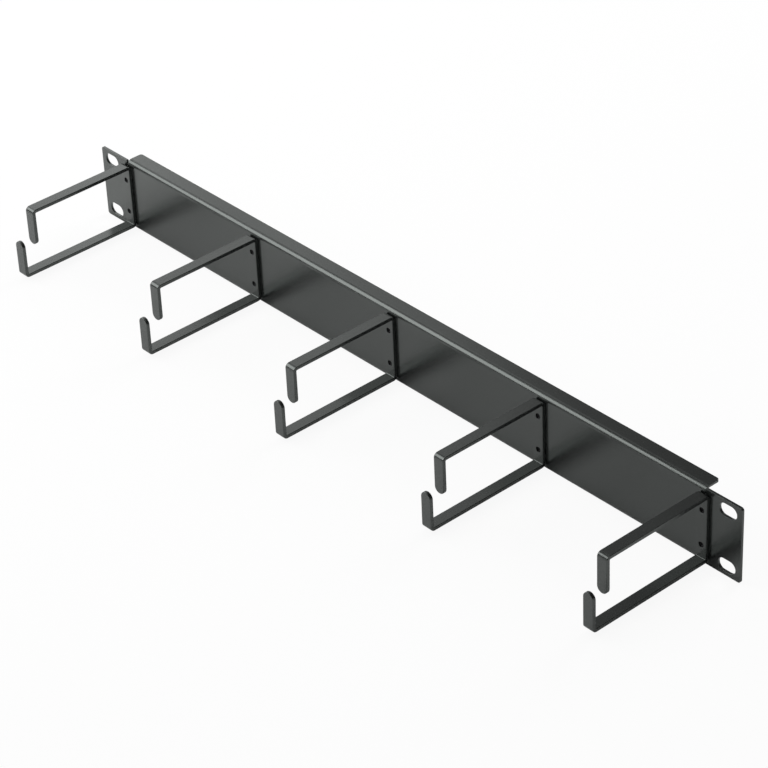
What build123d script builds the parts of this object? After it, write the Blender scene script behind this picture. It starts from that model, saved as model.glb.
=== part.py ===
# Rack cable management panel, one rack unit high, with five cable rings of bent steel strip
# Millimetres. X runs along the panel, -Y is the front, +Y the inside of the rack, +Z is up.
# The origin is the middle of the four rack slots, on the rear face that seats on the rack.
import os

from build123d import *

# Panel
panel_length = 482.6
panel_sheet = 1.5
panel_bend_radius = 1.5
body_height = 44.0
body_from_end = 23.3
flange_depth = 10.0
flange_corner_radius = 1.5
ear_set_in = 0.4
ear_corner_radius = 1.5
relief_width = 0.5
relief_past_bend = 0.5

# Rack slots, with centres 465.12 mm apart along the panel and 31.75 mm apart up it
slot_from_end = 8.74
slot_from_edge = 5.725
slot_length = 11.0
slot_width = 7.0

# Cable rings
ring_count = 5
ring_from_end = 23.3
ring_from_edge = 2.5
strip_width = 6.5
strip_thickness = 2.0
strip_bend_radius = 0.5
upper_reach = 68.0
finger_gap = 7.0
finger_past_middle = 2.5

# Screws, M3 pan heads from the rear
screw_spacing = 20.0
screw_diameter = 3.0
thread_clearance = 0.05
panel_hole_clearance = 0.2
screw_end_recess = 0.5
tapped_hole_chamfer = 0.2
head_diameter = 5.6
head_height = 2.2
head_edge_chamfer = 0.8
recess_span = 3.0
recess_width = 0.8
recess_depth = 1.2

# Places worked out from the sizes above
panel_front = -panel_sheet
foot_front = panel_front - strip_thickness
body_length = panel_length - 2 * body_from_end
body_inside_z = body_height / 2 - panel_sheet
web_height = body_height - 2 * (panel_bend_radius + panel_sheet)
flange_rear = flange_depth - panel_sheet
ear_height = body_height - 2 * ear_set_in
ear_length = body_from_end - relief_width
ear_middle = (panel_length - ear_length) / 2
relief_middle = (body_length + relief_width) / 2
relief_height = (body_height - web_height) / 2 + relief_past_bend
slot_spacing_x = panel_length - 2 * slot_from_end
slot_spacing_z = ear_height - 2 * slot_from_edge
ring_pitch = (panel_length - 2 * ring_from_end) / (ring_count - 1)
ring_height = body_height - 2 * ring_from_edge
lower_reach = upper_reach + finger_gap + strip_thickness
finger_length = ring_height / 2 + finger_past_middle
screw_radius = screw_diameter / 2 - thread_clearance
screw_length = panel_sheet + strip_thickness - screw_end_recess


def build_panel():
    """One sheet: a folded body between two flat ears, with rack slots and screw holes."""
    with BuildPart() as panel:
        with BuildSketch(Plane.YZ.offset(-body_length / 2)):
            with BuildLine():
                FilletPolyline(
                    (flange_rear, -body_inside_z),
                    (0, -body_inside_z),
                    (0, body_inside_z),
                    (flange_rear, body_inside_z),
                    radius=panel_bend_radius,
                )
                offset(amount=panel_sheet, side=Side.LEFT)
            make_face()
        extrude(amount=body_length)
        flange_corners = panel.edges().filter_by(Axis.Z).group_by(Axis.Y)[-1]
        fillet(flange_corners, flange_corner_radius)

        with BuildSketch(Plane.XZ):
            Rectangle(panel_length, web_height)
            with Locations((-ear_middle, 0), (ear_middle, 0)):
                Rectangle(ear_length, ear_height)
        extrude(amount=panel_sheet)
        ear_edges = panel.edges().filter_by(Axis.Y).group_by(Axis.X)
        fillet(ear_edges[0] + ear_edges[-1], ear_corner_radius)

        with BuildSketch(Plane.XZ):
            with GridLocations(2 * relief_middle, body_height - relief_height, 2, 2):
                Rectangle(relief_width, relief_height)
            with GridLocations(slot_spacing_x, slot_spacing_z, 2, 2):
                SlotOverall(slot_length, slot_width)
            with GridLocations(ring_pitch, screw_spacing, ring_count, 2):
                Circle(screw_diameter / 2 + panel_hole_clearance)
        extrude(amount=panel_sheet, mode=Mode.SUBTRACT)
    return panel


def build_ring(middle_x):
    """One flat strip bent into an open ring whose lower finger stands in front of the upper one."""
    inside_z = ring_height / 2 - strip_thickness
    upper_finger = panel_front - upper_reach + strip_thickness
    lower_finger = panel_front - lower_reach + strip_thickness
    round_end = strip_width / 2
    upper_end = ring_height / 2 - finger_length + round_end
    lower_end = -ring_height / 2 + finger_length - round_end

    with BuildPart() as ring:
        with BuildSketch(Plane.YZ.offset(middle_x)):
            with BuildLine():
                FilletPolyline(
                    (upper_finger, upper_end),
                    (upper_finger, inside_z),
                    (foot_front, inside_z),
                    (foot_front, -inside_z),
                    (lower_finger, -inside_z),
                    (lower_finger, lower_end),
                    radius=strip_bend_radius,
                )
                offset(amount=strip_thickness, side=Side.LEFT)
            make_face()
        extrude(amount=strip_width / 2, both=True)

        with BuildSketch(Plane.XZ.offset(-upper_finger)):
            with Locations((middle_x, upper_end)):
                Circle(round_end)
        extrude(amount=strip_thickness)
        with BuildSketch(Plane.XZ.offset(-lower_finger)):
            with Locations((middle_x, lower_end)):
                Circle(round_end)
        extrude(amount=strip_thickness)

        foot_face = Plane((middle_x, foot_front, 0), x_dir=(1, 0, 0), z_dir=(0, -1, 0))
        with Locations(foot_face):
            with GridLocations(0, screw_spacing, 1, 2):
                CounterSinkHole(
                    radius=screw_diameter / 2,
                    counter_sink_radius=screw_diameter / 2 + tapped_hole_chamfer,
                    depth=strip_thickness,
                    counter_sink_angle=90,
                )
    return ring


def build_screws(middle_x):
    """The two pan head screws that hold one ring, put in from the rear."""
    head_face = Plane((middle_x, head_height, 0), x_dir=(-1, 0, 0), z_dir=(0, 1, 0))
    with BuildPart() as screws:
        with BuildSketch(Plane.XZ):
            with Locations((middle_x, -screw_spacing / 2), (middle_x, screw_spacing / 2)):
                Circle(screw_radius)
        extrude(amount=screw_length)

        with BuildSketch(Plane.XZ):
            with Locations((middle_x, -screw_spacing / 2), (middle_x, screw_spacing / 2)):
                Circle(head_diameter / 2)
        extrude(amount=-head_height)
        chamfer(screws.faces().sort_by(Axis.Y)[-2:].edges(), head_edge_chamfer)

        with BuildSketch(head_face):
            with GridLocations(0, screw_spacing, 1, 2):
                Rectangle(recess_span, recess_width)
                Rectangle(recess_width, recess_span)
        extrude(amount=-recess_depth, mode=Mode.SUBTRACT)
    return screws


os.makedirs("parts", exist_ok=True)

panel = build_panel()
panel.part.label = "panel"
export_step(panel.part, "parts/panel.step")

for number in range(1, ring_count + 1):
    ring_x = (number - (ring_count + 1) / 2) * ring_pitch

    ring = build_ring(ring_x)
    ring.part.label = f"ring_{number}"
    export_step(ring.part, f"parts/ring_{number}.step")

    screws = build_screws(ring_x)
    screws.part.label = f"ring_{number}_screws"
    export_step(screws.part, f"parts/ring_{number}_screws.step")
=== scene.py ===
"""Rack cable management panel: a folded, powder coated sheet with five rings of bent flat bar."""

import math

import bpy
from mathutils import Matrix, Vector
from mathutils.geometry import delaunay_2d_cdt


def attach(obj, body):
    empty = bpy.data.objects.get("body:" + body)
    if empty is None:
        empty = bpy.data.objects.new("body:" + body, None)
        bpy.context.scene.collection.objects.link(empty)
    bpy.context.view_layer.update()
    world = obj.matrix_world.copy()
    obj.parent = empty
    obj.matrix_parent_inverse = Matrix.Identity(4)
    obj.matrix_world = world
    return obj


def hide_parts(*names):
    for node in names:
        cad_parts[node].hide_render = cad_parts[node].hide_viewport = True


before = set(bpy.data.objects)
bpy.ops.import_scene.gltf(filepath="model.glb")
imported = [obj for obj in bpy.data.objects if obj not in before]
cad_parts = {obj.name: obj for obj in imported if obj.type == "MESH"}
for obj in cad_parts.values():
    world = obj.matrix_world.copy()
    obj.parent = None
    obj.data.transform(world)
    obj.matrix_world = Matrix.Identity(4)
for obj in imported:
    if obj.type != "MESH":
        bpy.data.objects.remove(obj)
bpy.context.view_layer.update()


# Sizes in millimetres, in the CAD frame
PANEL_LENGTH = 482.6
SHEET = 1.5
BODY_HALF = 218.0
WEB_HALF = 19.0
FLANGE_END = 8.5
FLANGE_CORNER = 1.5
EAR_HALF = 21.6
EAR_START = 218.5
EAR_CORNER = 1.5
RELIEF_BOTTOM = 18.5
SLOT_X, SLOT_Z = 232.56, 15.875
SLOT_LENGTH, SLOT_WIDTH = 11.0, 7.0
PANEL_BEND = 1.5
RING_PITCH = 109.0
STRIP_WIDTH, STRIP = 6.5, 2.0
STRIP_BEND = 0.5
RING_HALF = 19.5
UPPER_REACH, LOWER_REACH = 68.0, 77.0
FINGER_TIP = 2.5
SCREW_Z = 10.0
HOLE_RADIUS = 1.7
TAPPED_RADIUS = 1.5
MM = 0.001

# Steps of the meshes: of a quarter bend, around a screw hole, and around a turned screw
BEND_STEPS = 12
HOLE_STEPS = 36
TURNED_STEPS = 56


# Outlines of the flat blanks. A point is (u, v, normal u, normal v), and the normal leaves the metal.
def arc(cu, cv, radius, start, end, steps, concave=False):
    side = -1 if concave else 1
    points = []
    for k in range(steps + 1):
        a = math.radians(start + (end - start) * k / steps)
        c, s = math.cos(a), math.sin(a)
        points.append((cu + radius * c, cv + radius * s, side * c, side * s))
    return points


def circle(cu, cv, radius, steps=HOLE_STEPS):
    return arc(cu, cv, radius, 0, 360, steps, concave=True)[:-1]


def slot_outline(cu, cv, length, width, steps=24):
    r, half = width / 2, (length - width) / 2
    return arc(cu + half, cv, r, -90, 90, steps, True) + arc(cu - half, cv, r, 90, 270, steps, True)


# A bent blank: the path gives the place, the tangent and the outward direction at a developed length
class Path:
    """Runs and quarter bends in a plane. Every bend turns towards the same side, around its inner radius."""

    def __init__(self, start, tangent, outward, thickness):
        self.at, self.t, self.n = Vector(start), Vector(tangent), Vector(outward)
        self.thickness, self.length, self.parts = thickness, 0.0, []

    def add(self, kind, length, place, radius):
        end = self.length + length
        self.parts.append((kind, self.length, end, place.copy(), self.t.copy(), self.n.copy(), radius))
        self.length = end

    def run(self, length):
        self.add("run", length, self.at, 0.0)
        self.at = self.at + self.t * length
        return self

    def bend(self, radius):
        centre = self.at - self.n * radius
        self.add("bend", math.pi / 2 * (radius + self.thickness / 2), centre, radius)
        self.t, self.n = -self.n, self.t.copy()
        self.at = centre + self.n * radius
        return self

    def frame(self, s):
        """The place on the inner face, the direction along the blank, and the outward direction."""
        for kind, lo, hi, place, t, n, radius in self.parts:
            if s <= hi or hi == self.length:
                if kind == "run":
                    return place + t * (s - lo), t, n
                a = (s - lo) / (hi - lo) * math.pi / 2
                out = n * math.cos(a) + t * math.sin(a)
                along = t * math.cos(a) - n * math.sin(a)
                return place + out * radius, along, out

    def bend_stations(self):
        """The developed lengths that divide each bend into even steps."""
        bends = [(lo, hi) for kind, lo, hi, *rest in self.parts if kind == "bend"]
        return [lo + (hi - lo) * k / BEND_STEPS for lo, hi in bends for k in range(BEND_STEPS + 1)]


def rim_profile(thickness, top, bottom, steps=4):
    """(offset into the metal, height, outward part, upward part) from the outer face to the inner face."""
    rows = []
    for k in range(steps + 1):
        a = math.pi / 2 * k / steps
        rows.append((top * (1 - math.sin(a)), thickness - top * (1 - math.cos(a)), math.sin(a), math.cos(a)))
    for k in range(steps + 1):
        a = math.pi / 2 * k / steps
        rows.append((bottom * (1 - math.cos(a)), bottom * (1 - math.sin(a)), math.cos(a), -math.sin(a)))
    return rows


def inside(u, v, loop):
    hit = False
    for (u0, v0), (u1, v1) in zip(loop, loop[1:] + loop[:1]):
        if (v0 > v) != (v1 > v) and u < u0 + (v - v0) * (u1 - u0) / (v1 - v0):
            hit = not hit
    return hit


def plate(name, loops, place, lines):
    """A closed mesh of one bent blank.

    loops: (outline, rim profile), the outer outline first. place(u, v) gives the point on the inner face,
    the directions of u and v, and the outward direction. lines: the values of v at which the faces are
    cut from side to side, so that they follow the bends.
    """
    verts, normals, faces = [], [], []
    rings = []
    _, eu, ev, en = place(*loops[0][0][0][:2])
    mirrored_blank = eu.cross(ev).dot(en) < 0
    for outline, profile in loops:
        rows = []
        for offset, height, out, up in profile:
            row = []
            for u, v, nu, nv in outline:
                origin, eu, ev, en = place(u - offset * nu, v - offset * nv, (u, v))
                row.append(len(verts))
                verts.append(origin + en * height)
                normals.append((eu * nu * out + ev * nv * out + en * up).normalized())
            rows.append(row)
        (u0, v0, nu, nv), (u1, v1, _, _) = outline[:2]
        against = (v1 - v0) * nu - (u1 - u0) * nv > 0
        for low, high in zip(rows, rows[1:]):
            count = len(low)
            for i in range(count):
                j = (i + 1) % count
                quad = (low[i], low[j], high[j], high[i])
                faces.append(tuple(reversed(quad)) if against else quad)
        rings.append((outline, profile, rows))

    for face_row, flip in ((0, False), (-1, True)):
        points, index, edges, polygons = [], [], [], []
        for outline, profile, rows in rings:
            offset = profile[face_row][0]
            first = len(points)
            polygon = [(u - offset * nu, v - offset * nv) for u, v, nu, nv in outline]
            polygons.append(polygon)
            points += [Vector(p) for p in polygon]
            index += rows[face_row]
            count = len(polygon)
            edges += [(first + i, first + (i + 1) % count) for i in range(count)]
        for v in lines:
            across = [i for i, p in enumerate(points[: len(polygons[0])]) if abs(p[1] - v) < 1e-6]
            across.sort(key=lambda i: points[i][0])
            if len(across) == 2:
                edges.append((across[0], across[1]))
        out_verts, _, out_faces, source, _, _ = delaunay_2d_cdt(points, edges, [], 0, 1e-6)
        for face in out_faces:
            u = sum(out_verts[i][0] for i in face) / 3
            v = sum(out_verts[i][1] for i in face) / 3
            if not inside(u, v, polygons[0]) or any(inside(u, v, hole) for hole in polygons[1:]):
                continue
            ids = [index[source[i][0]] for i in face]
            faces.append(tuple(reversed(ids)) if flip else tuple(ids))

    if mirrored_blank:
        faces = [tuple(reversed(face)) for face in faces]
    mesh = bpy.data.meshes.new(name)
    mesh.from_pydata([v * MM for v in verts], [], faces)
    mesh.polygons.foreach_set("use_smooth", [True] * len(mesh.polygons))
    mesh.update()
    mesh.normals_split_custom_set_from_vertices(normals)
    return mesh


def add_piece(name, mesh, material, node):
    piece = bpy.data.objects.new(name, mesh)
    bpy.context.scene.collection.objects.link(piece)
    mesh.materials.append(material)
    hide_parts(node)
    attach(piece, "root")
    return piece


# Panel
panel_path = Path((0.0, 0.0), (0, 1), (-1, 0), SHEET)
panel_path.run(WEB_HALF).bend(PANEL_BEND).run(FLANGE_END - PANEL_BEND)
PANEL_EDGE = 0.18
SCREW_HOLE_EDGE = 0.12
SMALL_CORNER = 0.45
NOTCH_CORNER = 0.15


def panel_place(u, v, outline_point=None):
    """The place on the rear face. The ears and everything between the relief notches stay flat."""
    outline_u = outline_point[0] if outline_point else u
    if abs(outline_u) > (BODY_HALF + EAR_START) / 2:
        return Vector((u, 0, v)), Vector((1, 0, 0)), Vector((0, 0, 1)), Vector((0, -1, 0))
    side = 1 if v >= 0 else -1
    at, along, out = panel_path.frame(abs(v))
    return (
        Vector((u, at[0], side * at[1])),
        Vector((1, 0, 0)),
        Vector((0, side * along[0], along[1])),
        Vector((0, out[0], side * out[1])),
    )


def quarter_outline():
    """The outline from the middle of the right end up to the middle of the upper flange's rear edge."""
    end, top = PANEL_LENGTH / 2, panel_path.length
    points = [(end, 0.0, 1, 0)]
    points += arc(end - EAR_CORNER, EAR_HALF - EAR_CORNER, EAR_CORNER, 0, 90, 14)
    points += arc(EAR_START + SMALL_CORNER, EAR_HALF - SMALL_CORNER, SMALL_CORNER, 90, 180, 6)
    points += arc(EAR_START - NOTCH_CORNER, RELIEF_BOTTOM + NOTCH_CORNER, NOTCH_CORNER, 0, -90, 4, True)
    points += arc(BODY_HALF + NOTCH_CORNER, RELIEF_BOTTOM + NOTCH_CORNER, NOTCH_CORNER, 270, 180, 4, True)
    points += [(BODY_HALF, v, 1, 0) for v in panel_path.bend_stations()]
    points += arc(BODY_HALF - FLANGE_CORNER, top - FLANGE_CORNER, FLANGE_CORNER, 0, 90, 16)
    return points


def mirrored(points, su, sv):
    return [(su * u, sv * v, su * nu, sv * nv) for u, v, nu, nv in points]


quarter = quarter_outline()
outer = (
    quarter
    + list(reversed(mirrored(quarter[1:], -1, 1)))
    + mirrored(quarter, -1, -1)
    + list(reversed(mirrored(quarter[1:], 1, -1)))
)
sheet_rim = rim_profile(SHEET, PANEL_EDGE, PANEL_EDGE)
screw_hole_rim = rim_profile(SHEET, SCREW_HOLE_EDGE, SCREW_HOLE_EDGE)
panel_loops = [(outer, sheet_rim)]
for su in (-1, 1):
    for sv in (-1, 1):
        panel_loops.append((slot_outline(su * SLOT_X, sv * SLOT_Z, SLOT_LENGTH, SLOT_WIDTH), sheet_rim))
ring_places = [(n - 2) * RING_PITCH for n in range(5)]
for x in ring_places:
    for z in (-SCREW_Z, SCREW_Z):
        panel_loops.append((circle(x, z, HOLE_RADIUS), screw_hole_rim))
bend_lines = [side * v for v in panel_path.bend_stations() for side in (-1, 1)]
panel_mesh = plate("panel", panel_loops, panel_place, bend_lines)


# Rings
RING_EDGE = 0.3
HOLE_EDGE = 0.2
HOLE_REAR_EDGE = 0.05


def half_path(reach, side):
    """One half of a ring from the middle of its foot: up, out along the arm, and back along the finger."""
    arm_end = -SHEET - reach + STRIP + STRIP_BEND
    bend_height = RING_HALF - STRIP - STRIP_BEND
    path = Path((-SHEET - STRIP, 0.0), (0, side), (1, 0), STRIP)
    path.run(bend_height).bend(STRIP_BEND)
    path.run(-SHEET - STRIP - STRIP_BEND - arm_end).bend(STRIP_BEND)
    path.run(bend_height + FINGER_TIP)
    return path


upper, lower = half_path(UPPER_REACH, 1), half_path(LOWER_REACH, -1)


def ring_place_at(middle):
    def ring_place(u, v, outline_point=None):
        at, along, out = (upper if v >= 0 else lower).frame(abs(v))
        flow = along if v >= 0 else -along
        return (
            Vector((middle + u, at[0], at[1])),
            Vector((1, 0, 0)),
            Vector((0, flow[0], flow[1])),
            Vector((0, out[0], out[1])),
        )

    return ring_place


def strip_outline():
    half = STRIP_WIDTH / 2
    top, bottom = upper.length - half, -(lower.length - half)
    side = sorted(upper.bend_stations() + [-v for v in lower.bend_stations()])
    right = [(half, v, 1, 0) for v in side]
    left = [(-half, v, -1, 0) for v in reversed(side)]
    return right + arc(0, top, half, 0, 180, 24) + left + arc(0, bottom, half, 180, 360, 24), side


strip, strip_lines = strip_outline()
strip_rim = rim_profile(STRIP, RING_EDGE, RING_EDGE)
tapped_rim = rim_profile(STRIP, HOLE_REAR_EDGE, HOLE_EDGE)
ring_meshes = []
for number, x in enumerate(ring_places, 1):
    loops = [(strip, strip_rim)]
    for z in (-SCREW_Z, SCREW_Z):
        loops.append((circle(0, z, TAPPED_RADIUS), tapped_rim))
    ring_meshes.append(plate(f"ring_{number}", loops, ring_place_at(x), strip_lines))


# Screws: a turned pan head with a cross recess, a plain shank, and a cupped end in the tapped hole
HEAD_RADIUS, HEAD_HEIGHT = 2.8, 2.2
HEAD_WALL, DOME_REACH, DOME_RISE, DOME_STEPS = 0.75, 1.15, 1.33, 12
CROWN = ((1.2, 2.135), (0.7, 2.18))
SHANK_RADIUS, SHANK_END = 1.45, -3.0
CUP = ((0, 0.7), (0.7, 0.62), (1.08, 0.1), (1.16, 0.0), (1.22, 0.03), (SHANK_RADIUS, 0.3))
RECESS_SPAN, RECESS_WIDTH, RECESS_DEPTH = 3.0, 0.8, 1.2


def turned(name, profile, steps=TURNED_STEPS):
    """A closed turned mesh along Y. profile: (radius, y) from the axis at one end to the other end."""
    verts, faces, rows = [], [], []
    for radius, y in profile:
        if radius == 0:
            rows.append([len(verts)])
            verts.append(Vector((0, y, 0)))
            continue
        row = []
        for k in range(steps):
            a = 2 * math.pi * k / steps
            row.append(len(verts))
            verts.append(Vector((radius * math.sin(a), y, radius * math.cos(a))))
        rows.append(row)
    for low, high in zip(rows, rows[1:]):
        for k in range(steps):
            j = (k + 1) % steps
            if len(low) == 1:
                faces.append((low[0], high[k], high[j]))
            elif len(high) == 1:
                faces.append((low[k], high[0], low[j]))
            else:
                faces.append((low[k], high[k], high[j], low[j]))
    mesh = bpy.data.meshes.new(name)
    mesh.from_pydata(verts, [], faces)
    return mesh


def screw_profile():
    """From the bottom of the cup, over its rim and along the shank, to the top of the domed head."""
    rows = [(radius, SHANK_END + height) for radius, height in CUP]
    rows += [(SHANK_RADIUS, -0.03), (SHANK_RADIUS + 0.03, 0.0), (HEAD_RADIUS - 0.12, 0.0)]
    rows += [(HEAD_RADIUS - 0.035, 0.035), (HEAD_RADIUS, 0.12), (HEAD_RADIUS, HEAD_WALL)]
    for k in range(1, DOME_STEPS + 1):
        a = math.radians(90 * k / DOME_STEPS)
        rows.append((HEAD_RADIUS - DOME_REACH * (1 - math.cos(a)), HEAD_WALL + DOME_RISE * math.sin(a)))
    return rows + [*CROWN, (0, HEAD_HEIGHT)]


def recess_mesh():
    """A cross shaped cutter that narrows towards the bottom of the recess."""
    verts, faces = [], []
    for y, span, width in ((HEAD_HEIGHT - RECESS_DEPTH, 0.55, 0.5), (HEAD_HEIGHT + 0.4, 1.2, 1.1)):
        s, w = RECESS_SPAN / 2 * span, RECESS_WIDTH / 2 * width
        arm = ((w, s), (-w, s), (-w, w))
        for turn in range(4):
            for x, z in arm:
                for _ in range(turn):
                    x, z = -z, x
                verts.append((x, y, z))
    faces.append(tuple(range(12)))
    faces.append(tuple(reversed(range(12, 24))))
    for k in range(12):
        j = (k + 1) % 12
        faces.append((j, k, 12 + k, 12 + j))
    mesh = bpy.data.meshes.new("recess")
    mesh.from_pydata(verts, [], faces)
    return mesh


def cut_screw():
    body = bpy.data.objects.new("screw_blank", turned("screw_blank", screw_profile()))
    cutter = bpy.data.objects.new("recess", recess_mesh())
    for o in (body, cutter):
        bpy.context.scene.collection.objects.link(o)
        o.data.validate()
    cut = body.modifiers.new("recess", "BOOLEAN")
    cut.object, cut.operation, cut.solver = cutter, "DIFFERENCE", "EXACT"
    bpy.context.view_layer.update()
    done = bpy.data.meshes.new_from_object(body.evaluated_get(bpy.context.evaluated_depsgraph_get()))
    for o in (body, cutter):
        bpy.data.objects.remove(o)
    return done


screw = cut_screw()
# Degrees by which the recess of each screw is turned
TURNS = (12, 67, 41, 83, 25, 58, 5, 74, 33, 49)


def screw_pair(name, x, turns):
    verts, faces = [], []
    for z, turn in zip((-SCREW_Z, SCREW_Z), turns):
        first = len(verts)
        c, s = math.cos(math.radians(turn)), math.sin(math.radians(turn))
        for v in screw.vertices:
            verts.append((x + v.co.x * c + v.co.z * s, v.co.y, z - v.co.x * s + v.co.z * c))
        faces += [tuple(first + i for i in p.vertices) for p in screw.polygons]
    mesh = bpy.data.meshes.new(name)
    mesh.from_pydata([Vector(v) * MM for v in verts], [], faces)
    mesh.polygons.foreach_set("use_smooth", [True] * len(mesh.polygons))
    mesh.set_sharp_from_angle(angle=math.radians(32))
    return mesh


# Materials
def powder_coat(name, base, seed, roughness=0.24):
    """Satin powder coat: a fine grain of melted powder, a slight orange peel, and uneven gloss."""
    mat = bpy.data.materials.new(name)
    mat.use_nodes = True
    nodes, links = mat.node_tree.nodes, mat.node_tree.links
    shader = nodes["Principled BSDF"]
    shader.inputs["Metallic"].default_value = 0.0
    shader.inputs["IOR"].default_value = 1.5
    shader.inputs["Specular IOR Level"].default_value = 1.0
    shader.inputs["Specular Tint"].default_value = (0.925, 1.0, 0.96, 1)
    coords = nodes.new("ShaderNodeTexCoord")
    offset = nodes.new("ShaderNodeMapping")
    offset.inputs["Location"].default_value = (seed * 0.31, seed * 0.17, seed * 0.23)
    links.new(coords.outputs["Object"], offset.inputs["Vector"])

    def noise(scale, detail, rough):
        n = nodes.new("ShaderNodeTexNoise")
        n.inputs["Scale"].default_value = scale
        n.inputs["Detail"].default_value = detail
        n.inputs["Roughness"].default_value = rough
        links.new(offset.outputs["Vector"], n.inputs["Vector"])
        return n.outputs["Fac"]

    grain, peel, cloud = noise(2600, 2, 0.5), noise(520, 2, 0.5), noise(24, 3, 0.55)

    tint = nodes.new("ShaderNodeMix")
    tint.data_type = "RGBA"
    tint.inputs["A"].default_value = (*[c * 0.82 for c in base], 1)
    tint.inputs["B"].default_value = (*[c * 1.18 for c in base], 1)
    speck = nodes.new("ShaderNodeMath")
    speck.operation = "MULTIPLY_ADD"
    speck.inputs[1].default_value = 0.55
    mild = nodes.new("ShaderNodeMath")
    mild.operation = "MULTIPLY"
    mild.inputs[1].default_value = 0.45
    links.new(cloud, mild.inputs[0])
    links.new(grain, speck.inputs[0])
    links.new(mild.outputs[0], speck.inputs[2])
    links.new(speck.outputs[0], tint.inputs["Factor"])
    links.new(tint.outputs["Result"], shader.inputs["Base Color"])

    gloss = nodes.new("ShaderNodeMapRange")
    gloss.inputs["From Min"].default_value = 0.3
    gloss.inputs["From Max"].default_value = 0.7
    gloss.inputs["To Min"].default_value = roughness - 0.03
    gloss.inputs["To Max"].default_value = roughness + 0.03
    links.new(cloud, gloss.inputs["Value"])
    links.new(gloss.outputs["Result"], shader.inputs["Roughness"])

    fine = nodes.new("ShaderNodeBump")
    fine.inputs["Strength"].default_value = 0.18
    fine.inputs["Distance"].default_value = 0.00006
    broad = nodes.new("ShaderNodeBump")
    broad.inputs["Strength"].default_value = 0.12
    broad.inputs["Distance"].default_value = 0.0001
    links.new(peel, broad.inputs["Height"])
    links.new(grain, fine.inputs["Height"])
    links.new(broad.outputs["Normal"], fine.inputs["Normal"])
    links.new(fine.outputs["Normal"], shader.inputs["Normal"])
    return mat


def plated_steel(name):
    """Blackened steel of the screws, a little brighter where the black is thin."""
    mat = bpy.data.materials.new(name)
    mat.use_nodes = True
    nodes, links = mat.node_tree.nodes, mat.node_tree.links
    shader = nodes["Principled BSDF"]
    shader.inputs["Metallic"].default_value = 0.85
    coords = nodes.new("ShaderNodeTexCoord")
    wear = nodes.new("ShaderNodeTexNoise")
    wear.inputs["Scale"].default_value = 900
    wear.inputs["Detail"].default_value = 4
    links.new(coords.outputs["Object"], wear.inputs["Vector"])
    tint = nodes.new("ShaderNodeMix")
    tint.data_type = "RGBA"
    tint.inputs["A"].default_value = (0.010, 0.010, 0.011, 1)
    tint.inputs["B"].default_value = (0.030, 0.030, 0.032, 1)
    links.new(wear.outputs["Fac"], tint.inputs["Factor"])
    links.new(tint.outputs["Result"], shader.inputs["Base Color"])
    gloss = nodes.new("ShaderNodeMapRange")
    gloss.inputs["To Min"].default_value = 0.38
    gloss.inputs["To Max"].default_value = 0.56
    links.new(wear.outputs["Fac"], gloss.inputs["Value"])
    links.new(gloss.outputs["Result"], shader.inputs["Roughness"])
    bump = nodes.new("ShaderNodeBump")
    bump.inputs["Strength"].default_value = 0.2
    bump.inputs["Distance"].default_value = 0.00003
    links.new(wear.outputs["Fac"], bump.inputs["Height"])
    links.new(bump.outputs["Normal"], shader.inputs["Normal"])
    return mat


COAT = (0.0103, 0.0110, 0.0107)
panel_coat = powder_coat("panel_powder_coat", COAT, 1)
ring_coat = powder_coat("ring_powder_coat", COAT, 2)
screw_steel = plated_steel("black_plated_steel")

add_piece("panel_sheet", panel_mesh, panel_coat, "panel")
for number, x in enumerate(ring_places, 1):
    add_piece(f"ring_{number}_strip", ring_meshes[number - 1], ring_coat, f"ring_{number}")
    pair = screw_pair(f"ring_{number}_screw_pair", x, TURNS[2 * number - 2 : 2 * number])
    add_piece(f"ring_{number}_screw_pair", pair, screw_steel, f"ring_{number}_screws")


# A white paper sweep in metres: flat under the part, and turned up far around it
FLOOR_HEIGHT = -0.022
FLAT_RADIUS, TURN_RADIUS = 3.0, 0.8
SEEN_BY_CAMERA, SEEN_IN_GLOSS = 0.92, 0.03


def paper_sweep(steps=96):
    profile = [(0.0, 0.0), (0.4, 0.0), (1.2, 0.0), (FLAT_RADIUS, 0.0)]
    for degrees in range(10, 91, 10):
        a = math.radians(degrees)
        profile.append((FLAT_RADIUS + TURN_RADIUS * math.sin(a), TURN_RADIUS * (1 - math.cos(a))))
    verts, faces = [(0.0, 0.0, FLOOR_HEIGHT)], []
    for radius, height in profile[1:]:
        for k in range(steps):
            a = 2 * math.pi * k / steps
            verts.append((radius * math.cos(a), radius * math.sin(a), height + FLOOR_HEIGHT))
    for k in range(steps):
        faces.append((0, 1 + k, 1 + (k + 1) % steps))
        for row in range(len(profile) - 2):
            low, high = 1 + row * steps, 1 + (row + 1) * steps
            faces.append((low + k, high + k, high + (k + 1) % steps, low + (k + 1) % steps))
    mesh = bpy.data.meshes.new("paper_sweep")
    mesh.from_pydata(verts, [], faces)
    mesh.polygons.foreach_set("use_smooth", [True] * len(mesh.polygons))
    return mesh


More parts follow.
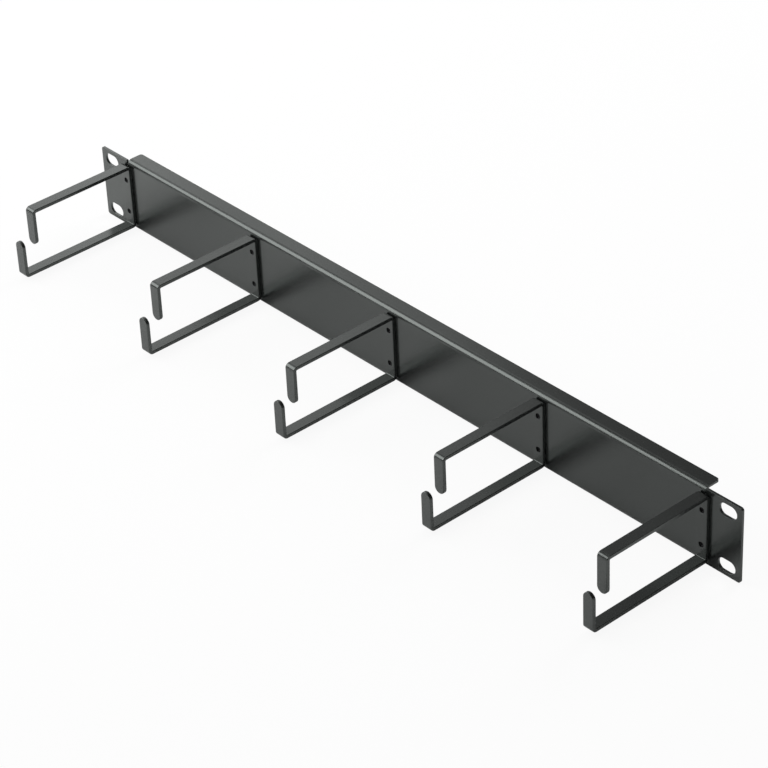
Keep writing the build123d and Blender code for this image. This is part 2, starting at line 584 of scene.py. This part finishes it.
def paper():
    """White paper. The camera sees it nearly white with a faint shadow, and gloss sees it partly lit."""
    mat = bpy.data.materials.new("white_paper")
    mat.use_nodes = True
    nodes, links = mat.node_tree.nodes, mat.node_tree.links
    shader = nodes["Principled BSDF"]
    shader.inputs["Base Color"].default_value = (0.9, 0.9, 0.9, 1)
    shader.inputs["Roughness"].default_value = 0.9
    shader.inputs["Specular IOR Level"].default_value = 0.0
    path = nodes.new("ShaderNodeLightPath")
    seen = {
        "Is Camera Ray": SEEN_BY_CAMERA,
        "Is Glossy Ray": SEEN_IN_GLOSS,
        "Is Transmission Ray": SEEN_IN_GLOSS,
    }
    shares = []
    for ray, share in seen.items():
        part = nodes.new("ShaderNodeMath")
        part.operation = "MULTIPLY"
        part.inputs[1].default_value = share
        links.new(path.outputs[ray], part.inputs[0])
        shares.append(part.outputs[0])
    while len(shares) > 1:
        most = nodes.new("ShaderNodeMath")
        most.operation = "MAXIMUM"
        links.new(shares.pop(), most.inputs[0])
        links.new(shares.pop(), most.inputs[1])
        shares.append(most.outputs[0])
    white = nodes.new("ShaderNodeEmission")
    white.inputs["Strength"].default_value = 1.0
    mix = nodes.new("ShaderNodeMixShader")
    links.new(shares[0], mix.inputs["Fac"])
    links.new(shader.outputs["BSDF"], mix.inputs[1])
    links.new(white.outputs["Emission"], mix.inputs[2])
    links.new(mix.outputs["Shader"], nodes["Material Output"].inputs["Surface"])
    return mat


sweep = bpy.data.objects.new("paper_sweep", paper_sweep())
bpy.context.scene.collection.objects.link(sweep)
sweep.data.materials.append(paper())

WORLD_LIGHT = 0.05
world = bpy.data.worlds.new("studio")
world.use_nodes = True
world.node_tree.nodes["Background"].inputs["Color"].default_value = (1, 1, 1, 1)
world.node_tree.nodes["Background"].inputs["Strength"].default_value = WORLD_LIGHT
bpy.context.scene.world = world


def softbox(name, place, target, width, height, radiance):
    """A rectangular lamp that faces its target and looks as bright as its radiance."""
    lamp = bpy.data.lights.new(name, "AREA")
    lamp.shape = "RECTANGLE"
    lamp.size, lamp.size_y = width, height
    lamp.energy = radiance * math.pi * width * height
    o = bpy.data.objects.new(name, lamp)
    bpy.context.scene.collection.objects.link(o)
    o.location = place
    o.rotation_euler = (Vector(target) - Vector(place)).to_track_quat("-Z", "Y").to_euler()
    o.visible_camera = False
    return o


ORIGIN = (0.0, 0.0, 0.0)
softbox("key_softbox", (-0.7245, -0.618, 0.644), ORIGIN, 0.85, 0.84, 3.5)
softbox("fill_softbox", (-0.7245, 0.231, 0.863), ORIGIN, 0.85, 0.5, 0.5)
softbox("top_softbox", (0.0, 0.0, 1.3), ORIGIN, 0.7, 0.7, 3.0)
softbox("back_softbox", (0.0, 1.5, 0.8), ORIGIN, 0.8, 0.8, 7.8)
softbox("left_softbox", (-1.5, 0.0, 0.6), ORIGIN, 1.2, 1.0, 1.3)

# A row of small softboxes behind the part, dimmer towards the right
NEAR_X, NEAR_PITCH, NEAR_AIM = -0.88, 0.2, 0.38
for number, radiance in enumerate((0.78, 0.5, 0.34, 0.18)):
    x = NEAR_X + NEAR_PITCH * number
    softbox(f"near_softbox_{number}", (x, 0.32, 0.34), (x + NEAR_AIM, 0.0, 0.0), 0.3, 0.3, radiance)

# Camera: from the front right, above the part, with a long lens
CAMERA_PLACE = (0.983809, -0.845969, 0.852954)
CAMERA_DEGREES = (55.9056, 2.2759, 48.0421)
camera_data = bpy.data.cameras.new("camera")
camera = bpy.data.objects.new("camera", camera_data)
bpy.context.scene.collection.objects.link(camera)
camera_data.sensor_width = 36.0
camera_data.lens = 141.78
camera_data.clip_start, camera_data.clip_end = 0.05, 30.0
camera.location = CAMERA_PLACE
camera.rotation_euler = [math.radians(a) for a in CAMERA_DEGREES]
bpy.context.scene.camera = camera
bpy.context.scene.view_settings.view_transform = "Standard"
